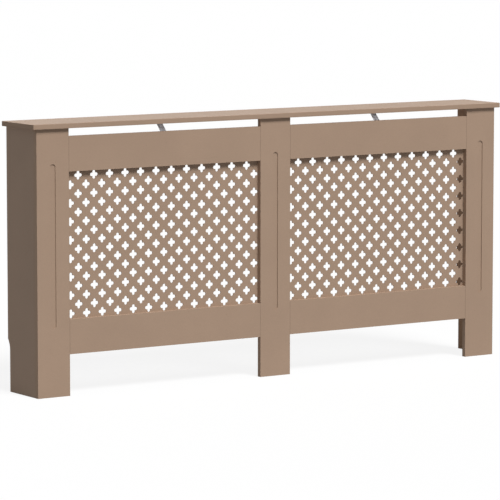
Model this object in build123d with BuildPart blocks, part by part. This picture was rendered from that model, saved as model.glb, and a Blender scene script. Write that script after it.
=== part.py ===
from build123d import *
import os
from math import acos, degrees, sqrt

# Radiator cover cabinet of raw MDF: three fluted posts with rails between them, two
# pierced grilles, two side panels, and a top board that stands clear of the rails.
# Millimetres. X runs along the wall, the front faces -Y, the wall is at +Y, Z is up.
# The origin is on the floor, under the middle of the top board.

# Overall size
overall_width = 1720
overall_depth = 190
overall_height = 815

# Boards
top_thickness = 15
frame_thickness = 15
side_thickness = 12
grille_thickness = 3
end_overhang = 15
front_overhang = 10
edge_break = 1

# Front frame
post_width = 110
rail_height = 105
floor_clearance = 125
vent_height = 24
flute_width = 18
flute_depth = 2.6
flute_overrun = 24

# Stub tongues on the rail ends, in mortises of the posts
tongue_length = 8
tongue_thickness = 5
tongue_shoulder = 10
tongue_clearance = 0.2

# Housings in the underside of the top board, for the side panels' top edges
housing_depth = 5
housing_setback = 10
housing_clearance = 0.2

# Grille: crosses on every second cell of a grid that fills the opening of a bay. Their
# arms are pointed, and 1 mm longer and wider than the real round-ended ones, so that the
# sheet is about as open.
cell_size = 27.5
cross_reach = 14.5
cross_arm_width = 12
grille_lap = 15

# Skirting cut-out at the foot of each side panel
skirting_depth = 12
skirting_height = 160
skirting_radius = 52

# Battens in the front corners, and a block of the same section behind the middle post
batten_size = 18
batten_setback = 60
block_length = 80

# Bent steel: straps from the upper rails to the top board, and wall brackets
steel_thickness = 2
strap_width = 20
strap_foot = 40
strap_bend_drop = 2
bracket_leg = 25
bracket_height = 40
bracket_drop = 60
wall_hole_diameter = 5

# Screws of the straps and brackets, drawn six-sided
screw_sides = 6
screw_head_across = 7
screw_head_height = 2
screw_diameter = 3.5
screw_bite = 9
screw_clearance = 0.1

# Places that follow from these sizes
body_width = overall_width - 2 * end_overhang
body_height = overall_height - top_thickness
wall_y = overall_depth / 2
front_y = -wall_y + front_overhang
frame_back_y = front_y + frame_thickness
frame_middle_y = front_y + frame_thickness / 2
side_inner_x = body_width / 2 - side_thickness
side_middle_x = side_inner_x + side_thickness / 2
side_middle_y = (frame_back_y + wall_y) / 2

bay_width = (body_width - 3 * post_width) / 2
bay_middle_x = (post_width + bay_width) / 2
outer_post_x = post_width + bay_width
rail_top = body_height - vent_height
lower_rail_z = floor_clearance + rail_height / 2
upper_rail_z = rail_top - rail_height / 2
opening_bottom = floor_clearance + rail_height
opening_height = rail_top - rail_height - opening_bottom
opening_z = opening_bottom + opening_height / 2
tongue_height = rail_height - 2 * tongue_shoulder
housed_depth = wall_y - frame_back_y - 2 * housing_setback

strap_bend_z = rail_top - strap_bend_drop
strap_run = body_height - strap_bend_z
bracket_z = rail_top - bracket_drop

# Seats under the screw heads: each plane faces out of its head
rail_seat = Plane(
    origin=(bay_middle_x, frame_back_y + steel_thickness, strap_bend_z - strap_foot / 2),
    x_dir=(1, 0, 0),
    z_dir=(0, 1, 0),
)
left_top_seat, top_seat = [
    Plane(
        origin=(
            side * bay_middle_x,
            frame_back_y + strap_run + strap_foot / 2,
            body_height - steel_thickness,
        ),
        x_dir=(1, 0, 0),
        z_dir=(0, 0, -1),
    )
    for side in (-1, 1)
]
panel_seat = Plane(
    origin=(side_inner_x - steel_thickness, wall_y - bracket_leg / 2, bracket_z),
    x_dir=(0, 1, 0),
    z_dir=(-1, 0, 0),
)
wall_seat = Plane(
    origin=(side_inner_x - bracket_leg / 2, wall_y - steel_thickness, bracket_z),
    x_dir=(1, 0, 0),
    z_dir=(0, -1, 0),
)


def write(part, label):
    """Label a finished piece and write it to its own file."""
    part.label = label
    export_step(part, f"parts/{label}.step")


def write_pair(part, label):
    """Write a right-hand piece, and its mirror image on the left."""
    write(part, f"right_{label}")
    write(mirror(part, about=Plane.YZ), f"left_{label}")


def drive_shanks(seats, clearance=0.0, mode=Mode.ADD):
    """Shanks through the steel at these seats into the board, or holes that clear them."""
    for seat in seats:
        with BuildSketch(seat) as section:
            RegularPolygon(screw_diameter / 2 + clearance, screw_sides)
        length = steel_thickness + screw_bite + clearance
        extrude(section.sketch, amount=-length, mode=mode)


def make_screws(seats):
    """Screws at these seats, and at their mirror images."""
    with BuildPart() as screws:
        drive_shanks(seats)
        for seat in seats:
            with BuildSketch(seat):
                RegularPolygon(screw_head_across / 2, screw_sides, major_radius=False)
            extrude(amount=screw_head_height)
        mirror(about=Plane.YZ)
    return screws.part


def make_post(x, rail_sides):
    """A fluted post, with mortises in the edges where rails meet it."""
    with BuildPart() as post:
        with BuildSketch():
            with Locations((x, frame_middle_y)):
                Rectangle(post_width, frame_thickness)
        extrude(amount=body_height)
        with BuildSketch(Plane.XZ.offset(-front_y)):
            with Locations((x, opening_z)):
                SlotOverall(opening_height + 2 * flute_overrun, flute_width, rotation=90)
        extrude(amount=-flute_depth, mode=Mode.SUBTRACT)
        for side in rail_sides:
            with BuildSketch(Plane.YZ.offset(x + side * post_width / 2)):
                with Locations((frame_middle_y, lower_rail_z), (frame_middle_y, upper_rail_z)):
                    Rectangle(
                        tongue_thickness + 2 * tongue_clearance,
                        tongue_height + 2 * tongue_clearance,
                    )
            extrude(amount=-side * (tongue_length + tongue_clearance), mode=Mode.SUBTRACT)
    return post.part


def make_rail(z, seats=()):
    """A rail across the right-hand bay, with a stub tongue at each end."""
    with BuildPart() as rail:
        with BuildSketch(Plane.YZ.offset(bay_middle_x)):
            with Locations((frame_middle_y, z)):
                Rectangle(frame_thickness, rail_height)
        extrude(amount=bay_width / 2, both=True)
        with BuildSketch(Plane.YZ.offset(bay_middle_x)):
            with Locations((frame_middle_y, z)):
                Rectangle(tongue_thickness, tongue_height)
        extrude(amount=bay_width / 2 + tongue_length, both=True)
        drive_shanks(seats, screw_clearance, Mode.SUBTRACT)
    return rail.part


def cross_outline():
    """The eight corners of a cross: four arm tips, and the corners between the arms."""
    half_arm = cross_arm_width / 2
    corners = []
    for turn in range(4):
        corners.append(Vector(cross_reach, 0).rotate(Axis.Z, 90 * turn))
        corners.append(Vector(half_arm, half_arm).rotate(Axis.Z, 90 * turn))
    return corners


os.makedirs("parts", exist_ok=True)

with BuildPart() as top_board:
    with BuildSketch(Plane.XY.offset(body_height)):
        Rectangle(overall_width, overall_depth)
    extrude(amount=top_thickness)
    chamfer(top_board.faces().sort_by(Axis.Z)[-1].edges(), length=edge_break)
    with BuildSketch(Plane.XY.offset(body_height)):
        with Locations((-side_middle_x, side_middle_y), (side_middle_x, side_middle_y)):
            Rectangle(
                side_thickness + 2 * housing_clearance,
                housed_depth + 2 * housing_clearance,
            )
    extrude(amount=housing_depth, mode=Mode.SUBTRACT)
    drive_shanks([left_top_seat, top_seat], screw_clearance, Mode.SUBTRACT)
write(top_board.part, "top_board")

# Side panel: the curve rises from the skirting line and meets the back edge
curve_angle = degrees(acos(1 - skirting_depth / skirting_radius))
curve_bottom = skirting_height - sqrt(skirting_depth * (2 * skirting_radius - skirting_depth))
housed_top = body_height + housing_depth - housing_clearance
with BuildPart() as side_panel:
    with BuildSketch(Plane.YZ.offset(side_inner_x)):
        with BuildLine():
            Polyline(
                (wall_y, skirting_height),
                (wall_y, body_height),
                (wall_y - housing_setback, body_height),
                (wall_y - housing_setback, housed_top),
                (frame_back_y + housing_setback, housed_top),
                (frame_back_y + housing_setback, body_height),
                (frame_back_y, body_height),
                (frame_back_y, 0),
                (wall_y - skirting_depth, 0),
                (wall_y - skirting_depth, curve_bottom),
            )
            JernArc(
                start=(wall_y - skirting_depth, curve_bottom),
                tangent=(0, 1),
                radius=skirting_radius,
                arc_size=-curve_angle,
            )
        make_face()
    extrude(amount=side_thickness)
    drive_shanks([panel_seat], screw_clearance, Mode.SUBTRACT)
write_pair(side_panel.part, "side_panel")

write(make_post(0, (-1, 1)), "middle_post")
write_pair(make_post(outer_post_x, (-1,)), "post")
write_pair(make_rail(lower_rail_z), "lower_rail")
write_pair(make_rail(upper_rail_z, [rail_seat]), "upper_rail")

# Grille: the cells share out the opening evenly, and the sheet laps the frame
columns = round(bay_width / cell_size)
rows = round(opening_height / cell_size)
column_pitch = bay_width / columns
row_pitch = opening_height / rows
cross_places = [
    (
        bay_middle_x + (column - (columns - 1) / 2) * column_pitch,
        opening_z + (row - (rows - 1) / 2) * row_pitch,
    )
    for column in range(columns)
    for row in range(rows)
    if (column + row) % 2 == 0
]
with BuildPart() as grille:
    with BuildSketch(Plane.XZ.offset(-frame_back_y)):
        with Locations((bay_middle_x, opening_z)):
            Rectangle(bay_width + 2 * grille_lap, opening_height + 2 * grille_lap)
        with Locations(*cross_places):
            Polygon(*cross_outline(), align=None, mode=Mode.SUBTRACT)
    extrude(amount=-grille_thickness)
write_pair(grille.part, "grille")

with BuildPart() as corner_batten:
    with BuildSketch(Plane.XY.offset(batten_setback)):
        with Locations((side_inner_x, frame_back_y)):
            Rectangle(batten_size, batten_size, align=(Align.MAX, Align.MIN))
    extrude(amount=body_height - batten_setback)
write_pair(corner_batten.part, "corner_batten")

with BuildPart() as middle_block:
    with BuildSketch(Plane.YZ):
        with Locations((frame_back_y, body_height)):
            Rectangle(batten_size, batten_size, align=(Align.MIN, Align.MAX))
    extrude(amount=block_length / 2, both=True)
write(middle_block.part, "middle_block")

with BuildPart() as strap:
    with BuildSketch(Plane.YZ.offset(bay_middle_x)):
        with BuildLine():
            Polyline(
                (frame_back_y, strap_bend_z - strap_foot),
                (frame_back_y, strap_bend_z),
                (frame_back_y + strap_run, body_height),
                (frame_back_y + strap_run + strap_foot, body_height),
            )
            offset(amount=steel_thickness, side=Side.RIGHT, kind=Kind.INTERSECTION)
        make_face()
    extrude(amount=strap_width / 2, both=True)
    drive_shanks([rail_seat, top_seat], screw_clearance, Mode.SUBTRACT)
write_pair(strap.part, "strap")
write(make_screws([rail_seat, top_seat]), "strap_screws")

with BuildPart() as wall_bracket:
    with BuildSketch(Plane.XY.offset(bracket_z)):
        with BuildLine():
            Polyline(
                (side_inner_x, wall_y - bracket_leg),
                (side_inner_x, wall_y),
                (side_inner_x - bracket_leg, wall_y),
            )
            offset(amount=steel_thickness, side=Side.LEFT, kind=Kind.INTERSECTION)
        make_face()
    extrude(amount=bracket_height / 2, both=True)
    drive_shanks([panel_seat], screw_clearance, Mode.SUBTRACT)
    with Locations(wall_seat):
        Hole(radius=wall_hole_diameter / 2, depth=steel_thickness)
write_pair(wall_bracket.part, "wall_bracket")
write(make_screws([panel_seat]), "bracket_screws")
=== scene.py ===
from bisect import bisect
from math import atan2, cos, pi, radians, sin, tan

import bmesh
import bpy
from mathutils import Matrix, Vector
from mathutils.geometry import delaunay_2d_cdt


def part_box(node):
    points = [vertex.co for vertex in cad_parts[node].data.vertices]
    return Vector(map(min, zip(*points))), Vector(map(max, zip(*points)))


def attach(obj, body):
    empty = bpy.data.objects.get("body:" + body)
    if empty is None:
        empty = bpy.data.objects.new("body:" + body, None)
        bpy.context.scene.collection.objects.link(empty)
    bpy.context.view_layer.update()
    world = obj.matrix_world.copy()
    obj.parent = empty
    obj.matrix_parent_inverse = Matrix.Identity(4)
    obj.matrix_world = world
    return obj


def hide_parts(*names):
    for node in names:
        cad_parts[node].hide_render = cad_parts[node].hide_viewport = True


# Radiator cover cabinet of raw MDF. Metres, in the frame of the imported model: X along
# the wall, the front faces -Y, the wall is at +Y, and the floor is at Z = 0. Places are
# worked out from the boxes of the CAD nodes.

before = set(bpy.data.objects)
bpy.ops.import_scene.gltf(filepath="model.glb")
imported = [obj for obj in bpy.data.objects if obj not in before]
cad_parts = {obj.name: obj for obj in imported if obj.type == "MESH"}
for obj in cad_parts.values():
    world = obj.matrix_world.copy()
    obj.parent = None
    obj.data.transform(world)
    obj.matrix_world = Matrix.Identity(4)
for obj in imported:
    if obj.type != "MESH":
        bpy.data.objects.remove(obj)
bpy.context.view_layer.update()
scene = bpy.context.scene
MM = 0.001
SIDES = (("left", -1), ("right", 1))

# The grille sheet laps the bay and its opening by this much all round
GRILLE_LAP = 15 * MM
grille_low, grille_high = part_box("right_grille")
BAY_MIDDLE_X = (grille_low.x + grille_high.x) / 2
BAY_WIDTH = grille_high.x - grille_low.x - 2 * GRILLE_LAP


# ---------------------------------------------------------------- materials

WHITE = (1.0, 1.0, 1.0)
MDF_COLOR = (0.362, 0.252, 0.180)
PINE_COLOR = (0.66, 0.48, 0.29)
# The straps are lighter than real zinc: painted light, which stands in for the light that the top
# board's shade keeps from them
STRAP_PAINTED_LIGHT_COLOR = (0.92, 0.94, 0.98)
BRACKET_COLOR = (0.43, 0.44, 0.46)
SCREW_COLOR = (0.605, 0.616, 0.626)

# The side panels' inner faces are browner: painted bounce light, a tint that stands in for the light
# that comes there from other boards
PAINTED_INNER_BOUNCE = (1.12, 0.96, 0.80)

# How deep each bump is, from the bottom to the top of its relief
MDF_RELIEF = 0.06 * MM
PINE_RELIEF = 0.08 * MM
ZINC_RELIEF = 0.03 * MM

# Where the dark arris at a rail's shoulder, dust with painted shade of the joint's gap, starts and
# where it is full, from the shoulder
DUST_AND_SHADE_START = 0.8 * MM
DUST_AND_SHADE_FULL = 0.3 * MM

# Fibres and rolling lines: how their pattern is stretched, and how it is turned in degrees
MDF_FIBRES = (((260, 1700, 1700), (0, 31, 12)), ((1700, 1700, 240), (14, 22, 48)))
ZINC_LINES = ((4200, 240, 240), (8, 0, 20))

# The scale of the softwood's grain along the board, as a share of the one across
GRAIN_ALONG = 0.045

# A surface is the edge of its board if its normal's share across the board is under this
EDGE_SHARE = 0.5


class Nodes:
    """The node tree of a material or world, put together by short calls."""

    def __init__(self, owner):
        owner.use_nodes = True
        self.tree = owner.node_tree
        self.tree.nodes.clear()

    def set(self, target, value):
        """Links a socket to another one, or gives it a value."""
        if isinstance(value, bpy.types.NodeSocket):
            self.tree.links.new(value, target)
        elif isinstance(value, tuple) and target.type == "RGBA":
            target.default_value = (*value, 1.0)
        else:
            target.default_value = value

    def node(self, kind, values, **settings):
        made = self.tree.nodes.new(kind)
        for key, value in settings.items():
            setattr(made, key, value)
        for socket, value in values.items():
            self.set(made.inputs[socket], value)
        return made

    def shader(self, kind, **values):
        return self.node(f"ShaderNode{kind}", values).outputs[0]

    def math(self, operation, a, b=0.0):
        return self.node("ShaderNodeMath", {0: a, 1: b}, operation=operation).outputs[0]

    def by_ray(self, soft, sharp):
        """The soft shader for diffuse rays, the sharp one for the camera, mirror images and glass."""
        path = self.node("ShaderNodeLightPath", {}).outputs
        mirrored = self.math("MAXIMUM", path["Is Glossy Ray"], path["Is Transmission Ray"])
        is_sharp = self.math("MAXIMUM", path["Is Camera Ray"], mirrored)
        return self.node("ShaderNodeMixShader", {0: is_sharp, 1: soft, 2: sharp}).outputs[0]


class Shader(Nodes):
    """The nodes of one surface. Noise scales are per metre."""

    def __init__(self, name, constants):
        self.material = bpy.data.materials.new(name)
        super().__init__(self.material)
        self.surface = self.node("ShaderNodeBsdfPrincipled", constants)
        self.node("ShaderNodeOutputMaterial", {"Surface": self.surface.outputs["BSDF"]})
        self.place = self.node("ShaderNodeTexCoord", {}).outputs["Object"]

    def stretched(self, stretch, turn=(0, 0, 0)):
        """The object's coordinates, turned and stretched. Angles are in degrees."""
        values = {"Vector": self.place, "Scale": stretch, "Rotation": [radians(t) for t in turn]}
        return self.node("ShaderNodeMapping", values).outputs["Vector"]

    def noise(self, scale, detail=2.0, roughness=0.5, distortion=0.0, vector=None):
        values = {
            "Vector": vector or self.place,
            "Scale": scale,
            "Detail": detail,
            "Roughness": roughness,
            "Distortion": distortion,
        }
        return self.node("ShaderNodeTexNoise", values).outputs["Fac"]

    def axis(self, vector, number):
        return self.node("ShaderNodeSeparateXYZ", {0: vector}).outputs[number]

    def span(self, value, low, high, to_low=0.0, to_high=1.0):
        """value, with low to high stretched to the new span and clamped there."""
        values = {0: value, 1: low, 2: high, 3: to_low, 4: to_high}
        return self.node("ShaderNodeMapRange", values).outputs[0]

    def mix(self, factor, a, b, blend="MIX"):
        """Mixes two colours. Sockets 6 and 7 and output 2 are the node's ones for colours."""
        values = {0: factor, 6: a, 7: b}
        return self.node("ShaderNodeMix", values, data_type="RGBA", blend_type=blend).outputs[2]

    def total(self, *shares):
        """The sum of values, each times its share, as (value, share)."""
        weighed = [self.math("MULTIPLY", value, share) for value, share in shares]
        result = weighed[0]
        for more in weighed[1:]:
            result = self.math("ADD", result, more)
        return result

    def finish(self, color, roughness, height, depth):
        """Links the colour, the roughness and a bump of that depth in metres."""
        bump = self.node("ShaderNodeBump", {"Height": height, "Strength": 1.0, "Distance": depth})
        self.set(self.surface.inputs["Base Color"], color)
        self.set(self.surface.inputs["Roughness"], roughness)
        self.set(self.surface.inputs["Normal"], bump.outputs["Normal"])
        return self.material


def scaled(color, factor):
    return tuple(c * factor for c in color)


def mdf(name, node, color=MDF_COLOR, edge_tone=1.08, painted_inner_bounce=None, dust_and_shade_ends=False):
    """Raw board: pressed fibre faces, and sawn edges that are paler in the core.

    node is a board of the kind, whose box gives the way that its thickness runs.
    edge_tone is the tone of its edges; the tint for the inner side paints bounce light from other
    boards on the faces there; and the flag for the rail ends darkens the arrises at a rail's shoulders
    with dust and with painted shade of the joint's gap."""
    low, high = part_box(node)
    thickness = min(high - low)
    thin = list(high - low).index(thickness)
    board_middle = abs(low[thin] + high[thin]) / 2

    s = Shader(name, {"Specular IOR Level": 0.3})
    clouds = s.noise(scale=7.0, detail=3.0)
    speckle = s.noise(scale=900.0, detail=3.0, roughness=0.65)
    fibres = [
        s.noise(scale=1.0, roughness=0.6, distortion=0.4, vector=s.stretched(stretch, turn))
        for stretch, turn in MDF_FIBRES
    ]
    strands = s.span(s.math("MAXIMUM", *fibres), 0.58, 0.78)
    bark = s.span(s.noise(scale=330.0, detail=1.0), 0.70, 0.76)

    face = s.mix(s.span(clouds, 0.3, 0.7), scaled(color, 0.965), scaled(color, 1.03))
    face = s.mix(s.span(speckle, 0.3, 0.7, to_high=0.22), face, scaled(color, 0.62))
    face = s.mix(s.math("MULTIPLY", strands, 0.26), face, scaled(color, 1.5))
    face = s.mix(s.math("MULTIPLY", bark, 0.5), face, scaled(color, 0.45))

    # The sawn edge: coarser, with the dense and darker skins along both faces
    across = s.math("ABSOLUTE", s.axis(s.place, thin))
    off_middle = s.math("ABSOLUTE", s.math("SUBTRACT", across, board_middle))
    skin = s.span(off_middle, 0.55 * thickness / 2, 0.95 * thickness / 2)
    fuzz = s.noise(scale=1500.0, roughness=0.7)
    edge = s.mix(skin, scaled(color, 1.05 * edge_tone), scaled(color, 0.96 * edge_tone))
    edge = s.mix(s.span(fuzz, 0.3, 0.7, to_high=0.20), edge, scaled(color, 0.6))

    # Painted bounce light: the faces on the inner side take a browner tint for the light that other
    # boards throw on them
    if painted_inner_bounce:
        is_inner = s.math("LESS_THAN", across, board_middle)
        face = s.mix(is_inner, face, s.mix(1.0, face, painted_inner_bounce, "MULTIPLY"))
    normal = s.node("ShaderNodeNewGeometry", {}).outputs["True Normal"]
    is_edge = s.math("LESS_THAN", s.math("ABSOLUTE", s.axis(normal, thin)), EDGE_SHARE)
    board = s.mix(is_edge, face, edge)
    # At a rail's shoulders the arrises are darkened: dust, with painted shade of the gap in the joint
    if dust_and_shade_ends:
        off_bay = s.math("SUBTRACT", s.math("ABSOLUTE", s.axis(s.place, 0)), BAY_MIDDLE_X)
        to_shoulder = s.math("SUBTRACT", BAY_WIDTH / 2, s.math("ABSOLUTE", off_bay))
        board = s.mix(s.span(to_shoulder, DUST_AND_SHADE_FULL, DUST_AND_SHADE_START, 0.85, 0.0), board, scaled(color, 0.15))

    roughness = s.total((s.span(speckle, 0.2, 0.8, 0.56, 0.68), 1.0), (is_edge, 0.18))
    relief = s.total((strands, 0.35), (speckle, 0.5), (s.math("MULTIPLY", fuzz, is_edge), 2.2))
    return s.finish(board, roughness, relief, MDF_RELIEF)


def pine(name, node):
    """Planed softwood: growth lines along its length, fine pores and a few darker streaks."""
    low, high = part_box(node)
    long = list(high - low).index(max(high - low))
    s = Shader(name, {"Specular IOR Level": 0.35})
    grain = s.stretched([GRAIN_ALONG if axis == long else 1.0 for axis in range(3)])
    rings = s.node(
        "ShaderNodeTexWave",
        {"Vector": grain, "Scale": 42.0, "Distortion": 5.0, "Detail": 2.0, "Detail Scale": 1.2},
        wave_type="RINGS",
        rings_direction="XYZ"[long],
    ).outputs["Fac"]
    pores = s.noise(scale=1900.0, detail=3.0, roughness=0.7, vector=grain)
    streaks = s.noise(scale=120.0, detail=3.0, roughness=0.6, distortion=0.6, vector=grain)
    wood = s.mix(s.span(rings, 0.25, 1.0), scaled(PINE_COLOR, 1.08), scaled(PINE_COLOR, 0.68))
    wood = s.mix(s.span(streaks, 0.5, 0.8, to_high=0.4), wood, scaled(PINE_COLOR, 0.6))
    wood = s.mix(s.span(pores, 0.55, 0.8, to_high=0.35), wood, scaled(PINE_COLOR, 0.5))
    relief = s.total((rings, 0.5), (pores, 0.6))
    return s.finish(wood, s.span(rings, 0.0, 1.0, 0.62, 0.5), relief, PINE_RELIEF)


def zinc(name, color, roughness):
    """Zinc-plated steel: soft cloudy crystals, fine rolling lines and dull spots."""
    s = Shader(name, {"Metallic": 1.0})
    cells = s.node("ShaderNodeTexVoronoi", {"Vector": s.place, "Scale": 260.0})
    crystals = s.axis(cells.outputs["Color"], 0)
    clouds = s.noise(scale=90.0, detail=4.0, roughness=0.6)
    lines = s.noise(scale=1.0, roughness=0.6, vector=s.stretched(*ZINC_LINES))
    metal = s.mix(s.span(clouds, 0.3, 0.7), scaled(color, 0.8), scaled(color, 1.12))
    metal = s.mix(s.math("MULTIPLY", crystals, 0.22), metal, scaled(color, 0.62))
    dull = s.span(clouds, 0.3, 0.7, roughness - 0.06, roughness + 0.08)
    rough = s.math("ADD", dull, s.span(lines, 0.4, 0.7, -0.03, 0.05))
    return s.finish(metal, rough, s.total((lines, 0.6), (clouds, 0.5)), ZINC_RELIEF)


post_mdf = mdf("mdf_frame", "middle_post")
rail_mdf = mdf("mdf_rail", "right_lower_rail", dust_and_shade_ends=True)
side_mdf = mdf("mdf_side", "right_side_panel", painted_inner_bounce=PAINTED_INNER_BOUNCE)
top_mdf = mdf("mdf_top", "top_board", edge_tone=0.95)
grille_mdf = mdf("mdf_grille", "right_grille", scaled(MDF_COLOR, 0.98))
batten_pine = pine("pine_batten", "right_corner_batten")
block_pine = pine("pine_block", "middle_block")
# The straps' colour carries painted light for the top board's shade
strap_zinc = zinc("zinc_strap", STRAP_PAINTED_LIGHT_COLOR, roughness=0.92)
bracket_zinc = zinc("zinc_bracket", BRACKET_COLOR, roughness=0.5)
screw_zinc = zinc("zinc_screw", SCREW_COLOR, roughness=0.28)


# ---------------------------------------------------------------- boards

WELD_DISTANCE = 0.01 * MM
BOARD_ARRIS = 0.5 * MM
BATTEN_ARRIS = 0.6 * MM
ARRIS_SEGMENTS = 2
SHARP_EDGE = radians(40)


def dress(name, material, arris):
    """Gives a CAD node its material, and takes the sharpness off its edges as sanding does."""
    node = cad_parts[name]
    node.data.materials.clear()
    node.data.materials.append(material)
    weld = node.modifiers.new("weld", "WELD")
    weld.merge_threshold = WELD_DISTANCE
    bevel = node.modifiers.new("arris", "BEVEL")
    bevel.width = arris
    bevel.segments = ARRIS_SEGMENTS
    bevel.limit_method = "ANGLE"
    bevel.angle_limit = SHARP_EDGE
    node.modifiers.new("shading", "WEIGHTED_NORMAL")


dress("top_board", top_mdf, BOARD_ARRIS)
dress("middle_post", post_mdf, BOARD_ARRIS)
dress("middle_block", block_pine, BATTEN_ARRIS)
for side, _ in SIDES:
    dress(f"{side}_post", post_mdf, BOARD_ARRIS)
    dress(f"{side}_upper_rail", rail_mdf, BOARD_ARRIS)
    dress(f"{side}_lower_rail", rail_mdf, BOARD_ARRIS)
    dress(f"{side}_side_panel", side_mdf, BOARD_ARRIS)
    dress(f"{side}_corner_batten", batten_pine, BATTEN_ARRIS)


# ---------------------------------------------------------------- meshes

MERGE_DISTANCE = 0.001 * MM
SMOOTH_ANGLE = radians(35)

# What delaunay_2d_cdt gives back: the triangles inside the outermost loop
INSIDE_THE_RIM = 1


def add_piece(name, shape, material, replaced=()):
    """One piece of the scene, from its verts and faces, shaded smooth between its sharp edges."""
    verts, faces = shape
    mesh = bpy.data.meshes.new(name)
    mesh.from_pydata(verts, [], faces)
    bm = bmesh.new()
    bm.from_mesh(mesh)
    bmesh.ops.recalc_face_normals(bm, faces=bm.faces)
    for face in bm.faces:
        face.smooth = True
    for edge in bm.edges:
        edge.smooth = edge.is_manifold and edge.calc_face_angle(0) < SMOOTH_ANGLE
    bm.to_mesh(mesh)
    bm.free()
    mesh.materials.append(material)
    made = bpy.data.objects.new(name, mesh)
    scene.collection.objects.link(made)
    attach(made, "root")
    if replaced:
        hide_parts(*replaced)


def joined(shapes):
    """Several shapes, each as (verts, faces), as one."""
    verts, faces = [], []
    for more, shape in shapes:
        faces += [tuple(v + len(verts) for v in face) for face in shape]
        verts += more
    return verts, faces


def arc(centre, radius, start, end, steps):
    """Points of an arc, both ends included. Angles are in degrees."""
    angles = [radians(start + (end - start) * i / steps) for i in range(steps + 1)]
    return [Vector(centre) + radius * Vector((cos(a), sin(a))) for a in angles]


def goes_round(loop, point):
    """Whether a point is inside a closed loop: then the loop passes it an odd number of times."""
    odd = False
    for a, b in zip(loop, loop[1:] + loop[:1]):
        if (a.y > point.y) != (b.y > point.y):
            crossing = a.x + (b.x - a.x) * (point.y - a.y) / (b.y - a.y)
            odd ^= crossing > point.x
    return odd


def sheet(outlines, ease, thickness, place, creases=()):
    """A sheet with holes, and with the sharpness taken off all its edges.

    outlines(ease) gives the rim and then the holes, with the sheet cut back by ease.
    They are eased on the two faces and plain between them. creases are pairs of points
    of the rim, with a fold from one to the other. place puts a point of an outline, at
    a depth from the first face, in space."""
    eased, plain = outlines(ease), outlines(0.0)
    flat = [point for loop in eased for point in loop]
    owner = [number for number, loop in enumerate(eased) for _ in loop]
    edges = []
    for loop in eased:
        first = len(edges)
        edges += [(first + i, first + (i + 1) % len(loop)) for i in range(len(loop))]
    _, _, triangles, origins, _, _ = delaunay_2d_cdt(
        flat, edges + list(creases), [], INSIDE_THE_RIM, MERGE_DISTANCE
    )

    # A triangle that is in a hole has all its corners on the outline of that hole
    kept = []
    for triangle in triangles:
        corners = [origins[v][0] for v in triangle]
        loops = {owner[v] for v in corners}
        hole = loops.pop() if len(loops) == 1 else 0
        centroid = sum((flat[v] for v in corners), Vector((0, 0))) / 3
        if hole == 0 or not goes_round(eased[hole], centroid):
            kept.append(corners)

    layers = ((eased, 0.0), (plain, ease), (plain, thickness - ease), (eased, thickness))
    verts = [place(point, depth) for loops, depth in layers for loop in loops for point in loop]
    starts = [number * len(flat) for number in range(len(layers))]
    faces = kept + [[v + starts[-1] for v in reversed(corners)] for corners in kept]
    for near, far in zip(starts, starts[1:]):
        faces += [(a + near, b + near, b + far, a + far) for a, b in edges]
    return verts, faces


# ---------------------------------------------------------------- grilles

# Crosses on every second cell of a grid, with round arms and small round inner corners
CELL_SIZE = 27.5 * MM
HALF_ARM = 5.2 * MM
ARM_CENTRE = 8.2 * MM
INNER_RADIUS = 1 * MM
INNER_CENTRE = HALF_ARM + INNER_RADIUS
ARM_STEPS, INNER_STEPS = 8, 3
HOLE_EASE = 0.2 * MM


def cross(middle, ease):
    """The outline of one hole, grown by ease."""
    quarter = arc((ARM_CENTRE, 0), HALF_ARM + ease, -90, 90, ARM_STEPS)
    quarter += arc((INNER_CENTRE, INNER_CENTRE), INNER_RADIUS - ease, 270, 180, INNER_STEPS)
    spins = [Matrix.Rotation(turn * pi / 2, 2) for turn in range(4)]
    return [middle + spin @ point for spin in spins for point in quarter]


def grille(node):
    """The pierced sheet, with as many cells in its opening as come nearest to their size."""
    low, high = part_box(node)
    size = Vector((high.x - low.x, high.z - low.z))
    middle = Vector((low.x + high.x, low.z + high.z)) / 2
    opening = [length - 2 * GRILLE_LAP for length in size]
    columns, rows = [round(length / CELL_SIZE) for length in opening]
    pitch_x, pitch_z = opening[0] / columns, opening[1] / rows
    centres = [
        middle + Vector(((column - (columns - 1) / 2) * pitch_x, (row - (rows - 1) / 2) * pitch_z))
        for column in range(columns)
        for row in range(rows)
        if (column + row) % 2 == 0
    ]

    def outlines(ease):
        half = size / 2 - Vector((ease, ease))
        rim = [middle + half * Vector(corner) for corner in ((-1, -1), (1, -1), (1, 1), (-1, 1))]
        return [rim] + [cross(centre, ease) for centre in centres]

    return sheet(
        outlines, HOLE_EASE, high.y - low.y, lambda point, depth: (point.x, low.y + depth, point.y)
    )


for side, _ in SIDES:
    node = f"{side}_grille"
    add_piece(f"{node}_sheet", grille(node), grille_mdf, [node])


# ---------------------------------------------------------------- sheet steel

STEEL = 2 * MM
STRAP_FOOT = 40 * MM
STRAP_FOLD_RADIUS = 3 * MM
STRAP_CORNER_RADIUS = 3 * MM
BRACKET_LEG = 25 * MM
BRACKET_FOLD_RADIUS = 2.5 * MM
BRACKET_CORNER_RADIUS = 4 * MM
SCREW_HOLE_RADIUS = 1.9 * MM
WALL_HOLE_RADIUS = 2.5 * MM
FOLD_STEPS = 6
CORNER_STEPS = 5
HOLE_STEPS = 24
BURR = 0.2 * MM

strap_low, strap_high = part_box("right_strap")
bracket_low, bracket_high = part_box("right_wall_bracket")
bracket_middle_z = (bracket_low.z + bracket_high.z) / 2


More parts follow.
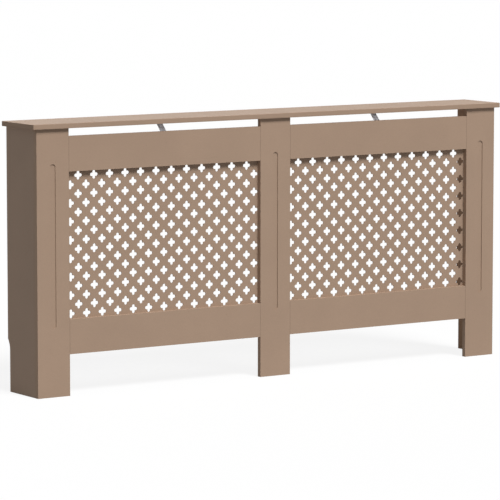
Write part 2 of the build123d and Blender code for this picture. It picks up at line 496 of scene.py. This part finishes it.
def filleted(corners, radius):
    """A path of points with round corners, and the distance along it of each point."""
    path = [corners[0]]
    for before, at, after in zip(corners, corners[1:], corners[2:]):
        into, out = (before - at).normalized(), (after - at).normalized()
        half = into.angle(out) / 2
        centre = at + (into + out).normalized() * (radius / sin(half))
        start = at + into * (radius / tan(half)) - centre
        turn = (pi - 2 * half) * (1 if into.cross(out) < 0 else -1)
        spins = [Matrix.Rotation(turn * i / FOLD_STEPS, 2) for i in range(FOLD_STEPS + 1)]
        path += [centre + spin @ start for spin in spins]
    path.append(corners[-1])
    along = [0.0]
    for a, b in zip(path, path[1:]):
        along.append(along[-1] + (b - a).length)
    return path, along


def folded(corners, fold_radius, width, corner_radius, holes, place):
    """A flat strip with holes, folded along a path, which is the middle of the steel.

    holes are (distance along the path, radius), where a distance below 0 counts back
    from the far end. place puts a point of the path, and a distance across, in space."""
    path, along = filleted([Vector(corner) for corner in corners], fold_radius)
    length = along[-1]
    ways = [(b - a).normalized() for a, b in zip(path, path[1:])]
    bends = [ways[0], *[(a + b).normalized() for a, b in zip(ways, ways[1:])], ways[-1]]

    def outlines(ease):
        radius, inset = corner_radius - ease, width / 2 - corner_radius
        lower = arc((corner_radius, -inset), radius, 180, 270, CORNER_STEPS)
        lower += [Vector((s, ease - width / 2)) for s in along[1:-1]]
        lower += arc((length - corner_radius, -inset), radius, 270, 360, CORNER_STEPS)
        upper = [Vector((point.x, -point.y)) for point in reversed(lower)]
        return [lower + upper] + [
            arc((s if s > 0 else length + s, 0), hole_radius + ease, 0, 360, HOLE_STEPS)[:-1]
            for s, hole_radius in holes
        ]

    def bend(point, depth):
        """Where a point of the flat strip ends up, at a depth in the steel."""
        nearest = min(range(len(along)), key=lambda k: abs(along[k] - point.x))
        if abs(along[nearest] - point.x) < MERGE_DISTANCE:
            here, way = path[nearest], bends[nearest]
        else:
            i = bisect(along, point.x) - 1
            share = (point.x - along[i]) / (along[i + 1] - along[i])
            here, way = path[i].lerp(path[i + 1], share), ways[i]
        return place(here + Vector((way.y, -way.x)) * (depth - STEEL / 2), point.y)

    # The rim's lower half runs forward and its upper half back, so a fold joins two points
    # that are as far from the rim's start as from its end
    first_fold, rim_size = CORNER_STEPS + 1, 4 * (CORNER_STEPS + 1) + 2 * (len(along) - 2)
    creases = [(first_fold + k, rim_size - 1 - first_fold - k) for k in range(len(along) - 2)]
    return sheet(outlines, BURR, STEEL, bend, creases)


def strap(sign):
    """Foot on the upper rail, slope at 45 degrees through the vent gap, foot under the top board."""
    near_y, high_z = strap_low.y + STEEL / 2, strap_high.z - STEEL / 2

    # A foot is measured on the outside of its fold, and the path is the middle of the steel
    foot = STRAP_FOOT - STEEL / 2 * tan(pi / 8)
    corners = [
        (near_y, strap_low.z),
        (near_y, strap_low.z + foot),
        (strap_high.y - foot, high_z),
        (strap_high.y, high_z),
    ]
    return folded(
        corners,
        STRAP_FOLD_RADIUS,
        strap_high.x - strap_low.x,
        STRAP_CORNER_RADIUS,
        [(STRAP_FOOT / 2, SCREW_HOLE_RADIUS), (-STRAP_FOOT / 2, SCREW_HOLE_RADIUS)],
        lambda point, across: (sign * BAY_MIDDLE_X + across, point.x, point.y),
    )


def wall_bracket(sign):
    """One leg on the side panel's inner face, the other along the wall."""
    panel_x, wall_y = bracket_high.x - STEEL / 2, bracket_high.y - STEEL / 2
    return folded(
        [(panel_x, bracket_low.y), (panel_x, wall_y), (bracket_low.x, wall_y)],
        BRACKET_FOLD_RADIUS,
        bracket_high.z - bracket_low.z,
        BRACKET_CORNER_RADIUS,
        [(BRACKET_LEG / 2, SCREW_HOLE_RADIUS), (-BRACKET_LEG / 2, WALL_HOLE_RADIUS)],
        lambda point, across: (sign * point.x, point.y, bracket_middle_z + across),
    )


for side, sign in SIDES:
    for node, shape, material in (
        (f"{side}_strap", strap(sign), strap_zinc),
        (f"{side}_wall_bracket", wall_bracket(sign), bracket_zinc),
    ):
        add_piece(f"{node}_steel", shape, material, [node])


# ---------------------------------------------------------------- screws and staples

# Pan-head screws with a cross recess, in millimetres. The profile is (radius, height over the
# seat), and the head falls by a share of the distance from its middle.
HEAD_PROFILE = ((3.5, 0.0), (3.5, 0.55), (3.38, 1.0), (3.0, 1.45), (2.5, 1.75), (2.15, 1.88))
HEAD_TOP = 2.0
HEAD_FALL = 0.04
SHANK_RADIUS = 1.75
POINT_RADIUS, POINT_LENGTH = 0.2, 2.0
TIP_LENGTH = 0.3
SHORT_SCREW, LONG_SCREW = 11.0, 27.0

# Half the length and half the width of the recess, which narrows on its way down: its steps
# are (share of its outline, height over the seat)
RECESS_REACH, RECESS_HALF = 1.75, 0.42
RECESS_STEPS = ((0.9, 1.75), (0.45, 0.75))
RECESS_BOTTOM = 0.55

# Turns in radians: of the first screw in a group, and from each screw to the next
FIRST_TURN, NEXT_TURN = 0.7, 1.9

# Angle in radians from an arm of the recess to the next point that rounds the head
FAN_ANGLE = 0.5

# Heights of the battens' screws over the floor, and how far the block's are from its middle
BATTEN_TO_POST_SCREWS = (110 * MM, 330 * MM, 550 * MM, 745 * MM)
BATTEN_TO_PANEL_SCREWS = (150 * MM, 440 * MM, 730 * MM)
BLOCK_TO_POST_SCREW_X = 26 * MM
BLOCK_TO_TOP_SCREW_X = 12 * MM


def recess_radius(angle):
    """How far the outline of the cross recess is from the middle, in millimetres."""
    c, s = sorted((abs(cos(angle)), abs(sin(angle))), reverse=True)
    at_arm_end = RECESS_REACH * s < RECESS_HALF * c
    return RECESS_REACH / c if at_arm_end else RECESS_HALF / s


def screw(seat, outward, turn, length):
    """One screw, from the point up over the head and down into the recess."""
    corner = atan2(RECESS_HALF, RECESS_REACH)
    fan = (-corner, 0, corner, FAN_ANGLE, pi / 4, pi / 2 - FAN_ANGLE)
    angles = [quarter * pi / 2 + a for quarter in range(4) for a in fan]
    recess = [recess_radius(a) for a in angles]
    shank = ((POINT_RADIUS, -length), (SHANK_RADIUS, POINT_LENGTH - length), (SHANK_RADIUS, 0.0))
    rings = [[point] * len(angles) for point in shank + HEAD_PROFILE]
    rings.append([(radius, HEAD_TOP - HEAD_FALL * radius) for radius in recess])
    rings += [[(share * radius, height) for radius in recess] for share, height in RECESS_STEPS]

    up = Vector(outward)
    right = up.orthogonal().normalized()
    over = up.cross(right)
    verts = []
    for ring in rings:
        for angle, (radius, height) in zip(angles, ring):
            flat = right * cos(angle + turn) + over * sin(angle + turn)
            verts.append(seat + (flat * radius + up * height) * MM)
    verts += [seat - up * (length + TIP_LENGTH) * MM, seat + up * RECESS_BOTTOM * MM]

    n = len(angles)
    last = (len(rings) - 1) * n
    pairs = [(i, (i + 1) % n) for i in range(n)]
    faces = [(k + a, k + b, k + n + b, k + n + a) for k in range(0, last, n) for a, b in pairs]
    faces += [(a, b, len(verts) - 2) for a, b in pairs]
    faces += [(last + a, last + b, len(verts) - 1) for a, b in pairs]
    return verts, faces


def on_both_sides(*seats):
    """Seats on the right-hand half, as (place, outward), and their mirror images."""
    return [
        (Vector((sign * x, y, z)), (sign * out[0], out[1], out[2]))
        for _, sign in SIDES
        for (x, y, z), out in seats
    ]


def add_screws(name, seats, length, replaced=()):
    """A group of screws as one piece, each turned its own way."""
    shapes = [
        screw(seat, outward, FIRST_TURN + NEXT_TURN * number, length)
        for number, (seat, outward) in enumerate(seats)
    ]
    add_piece(name, joined(shapes), screw_zinc, replaced)


to_left, to_wall, down = (-1, 0, 0), (0, 1, 0), (0, 0, -1)
batten_low, batten_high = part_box("right_corner_batten")
batten_middle = (batten_low + batten_high) / 2
block_low, block_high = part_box("middle_block")
block_middle = (block_low + block_high) / 2

rail_seat = (BAY_MIDDLE_X, strap_low.y + STEEL, strap_low.z + STRAP_FOOT / 2)
top_seat = (BAY_MIDDLE_X, strap_high.y - STRAP_FOOT / 2, strap_high.z - STEEL)
add_screws(
    "strap_screw_heads",
    on_both_sides((rail_seat, to_wall)) + on_both_sides((top_seat, down)),
    SHORT_SCREW,
    ["strap_screws"],
)
panel_seat = (bracket_high.x - STEEL, bracket_high.y - BRACKET_LEG / 2, bracket_middle_z)
add_screws("bracket_screw_heads", on_both_sides((panel_seat, to_left)), SHORT_SCREW, ["bracket_screws"])
add_screws(
    "batten_screws",
    on_both_sides(*[((batten_middle.x, batten_high.y, z), to_wall) for z in BATTEN_TO_POST_SCREWS])
    + on_both_sides(*[((batten_low.x, batten_middle.y, z), to_left) for z in BATTEN_TO_PANEL_SCREWS]),
    LONG_SCREW,
)
post_seat = (BLOCK_TO_POST_SCREW_X, block_high.y, block_middle.z)
board_seat = (BLOCK_TO_TOP_SCREW_X, block_middle.y, block_low.z)
add_screws("block_screws", on_both_sides((post_seat, to_wall)), LONG_SCREW)
add_screws("block_top_screws", on_both_sides((board_seat, down)), LONG_SCREW)

# Flat wire staples that hold the grilles to the back of the frame
STAPLE_CROWN = 10 * MM
STAPLE_LEG = 4 * MM
STAPLE_ROUND = 0.8 * MM
STAPLE_ROUND_STEPS = 3
WIRE_THICKNESS = 0.5 * MM
WIRE_WIDTH = 1.2 * MM
STAPLES_ACROSS, STAPLES_UP = 8, 5

# How far the staples are from the opening, and how far they slip along it at most. The slip
# swings by an angle in radians from one staple to the next, and by one for each metre.
STAPLE_SETBACK = 7 * MM
STAPLE_SLIP = 4 * MM
SLIP_ACROSS, SLIP_UP, SLIP_PER_METRE = 2.3, 1.9, 9


def staple(middle, along, out):
    """One staple: its crown lies on the sheet, its legs go in."""
    half_crown = STAPLE_CROWN / 2
    round_x, round_y = half_crown - STAPLE_ROUND, WIRE_THICKNESS / 2 - STAPLE_ROUND
    path = [Vector((-half_crown, -STAPLE_LEG))]
    path += arc((-round_x, round_y), STAPLE_ROUND, 180, 90, STAPLE_ROUND_STEPS)
    path += arc((round_x, round_y), STAPLE_ROUND, 90, 0, STAPLE_ROUND_STEPS)
    path.append(Vector((half_crown, -STAPLE_LEG)))
    across = along.cross(out)
    corners = ((-1, -1), (1, -1), (1, 1), (-1, 1))
    verts = []
    for k, point in enumerate(path):
        ahead = path[min(k + 1, len(path) - 1)] - path[max(k - 1, 0)]
        normal = Vector((-ahead.y, ahead.x)).normalized()
        for side, lift in corners:
            p = point + normal * lift * WIRE_THICKNESS / 2
            verts.append(middle + along * p.x + out * p.y + across * side * WIRE_WIDTH / 2)
    starts = range(0, len(verts) - 4, 4)
    faces = [(a + i, a + (i + 1) % 4, a + 4 + (i + 1) % 4, a + 4 + i) for a in starts for i in range(4)]
    faces += [(3, 2, 1, 0), tuple(len(verts) - 4 + i for i in range(4))]
    return verts, faces


def staples(node):
    """A row of staples along each side of the opening, none of them quite in line."""
    low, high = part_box(node)
    inset = Vector((GRILLE_LAP - STAPLE_SETBACK, 0, GRILLE_LAP - STAPLE_SETBACK))
    low, high = low + inset, high - inset
    swing = SLIP_PER_METRE * (low.x + high.x) / 2
    along_x, along_z, out = Vector((1, 0, 0)), Vector((0, 0, 1)), Vector((0, 1, 0))
    seats = []
    for i in range(STAPLES_ACROSS):
        x = low.x + (high.x - low.x) * (i + 0.5) / STAPLES_ACROSS
        slip = STAPLE_SLIP * sin(SLIP_ACROSS * i + swing)
        seats += [((x + slip, high.y, low.z), along_x), ((x - slip, high.y, high.z), along_x)]
    for i in range(STAPLES_UP):
        z = low.z + (high.z - low.z) * (i + 0.5) / STAPLES_UP
        slip = STAPLE_SLIP * cos(SLIP_UP * i + swing)
        seats += [((low.x, high.y, z + slip), along_z), ((high.x, high.y, z - slip), along_z)]
    return joined([staple(Vector(place), along, out) for place, along in seats])


for side, _ in SIDES:
    add_piece(f"{side}_grille_staples", staples(f"{side}_grille"), screw_zinc)


# ---------------------------------------------------------------- room, light and camera

# The strength of the world's light on the object
AMBIENT = 0.20

# Half the floor's side; its tone for the light that it returns to the object; and, where it is
# seen, its own glow and the tone that the lamps light, which come to white out of the shadow
FLOOR_HALF = 80.0
FLOOR_TONE = 0.36
FLOOR_GLOW = 0.87
FLOOR_SHADE = 0.12

# Lamps: the way to the lamp, its strength, and how wide it looks in degrees
KEY = ((0.05, -0.66, 0.82), 3.40, 22)
FILL = ((0.15, 0.97, 0.12), 0.6, 50)

# Camera: a tilt down and a turn to the right in degrees, as the photograph was taken. The
# lens and the sensor are in millimetres.
CAMERA_PLACE = (-5.7362, -8.6506, 1.5592)
CAMERA_TILT = 6.4611
CAMERA_TURN = 33.3746
CAMERA_LENS = 242.03
CAMERA_SENSOR = 36
CAMERA_CLIP_END = 400


def add_world():
    """White where it is seen, and a soft even light on the object."""
    world = bpy.data.worlds.new("studio")
    nodes = Nodes(world)
    ambient = nodes.shader("Background", Color=WHITE, Strength=AMBIENT)
    white = nodes.shader("Background", Color=WHITE, Strength=1.0)
    nodes.node("ShaderNodeOutputWorld", {"Surface": nodes.by_ray(ambient, white)})
    scene.world = world


def add_floor():
    """White where it is seen, apart from the object's shadow, and mid grey for the light it returns."""
    material = bpy.data.materials.new("floor")
    nodes = Nodes(material)
    grey = nodes.shader("BsdfDiffuse", Color=scaled(WHITE, FLOOR_TONE))
    glow = nodes.shader("Emission", Color=WHITE, Strength=FLOOR_GLOW)
    lit = nodes.shader("BsdfDiffuse", Color=scaled(WHITE, FLOOR_SHADE))
    pale = nodes.node("ShaderNodeAddShader", {0: glow, 1: lit}).outputs[0]
    nodes.node("ShaderNodeOutputMaterial", {"Surface": nodes.by_ray(grey, pale)})
    mesh = bpy.data.meshes.new("floor")
    corners = [(x * FLOOR_HALF, y * FLOOR_HALF, 0) for x, y in ((-1, -1), (1, -1), (1, 1), (-1, 1))]
    mesh.from_pydata(corners, [], [(0, 1, 2, 3)])
    mesh.materials.append(material)
    floor = bpy.data.objects.new("floor", mesh)
    scene.collection.objects.link(floor)


def add_sun(name, towards, strength, width):
    lamp = bpy.data.lights.new(name, "SUN")
    lamp.energy = strength
    lamp.angle = radians(width)
    made = bpy.data.objects.new(name, lamp)
    made.rotation_mode = "QUATERNION"
    made.rotation_quaternion = Vector(towards).to_track_quat("Z", "Y")
    scene.collection.objects.link(made)


def add_camera():
    data = bpy.data.cameras.new("camera")
    data.lens = CAMERA_LENS
    data.sensor_width = CAMERA_SENSOR
    data.clip_end = CAMERA_CLIP_END
    camera = bpy.data.objects.new("camera", data)
    camera.location = CAMERA_PLACE
    camera.rotation_euler = (radians(90 - CAMERA_TILT), 0, radians(-CAMERA_TURN))
    scene.collection.objects.link(camera)
    scene.camera = camera


add_world()
add_floor()
add_sun("key", *KEY)
add_sun("fill", *FILL)
add_camera()
scene.view_settings.view_transform = "Standard"
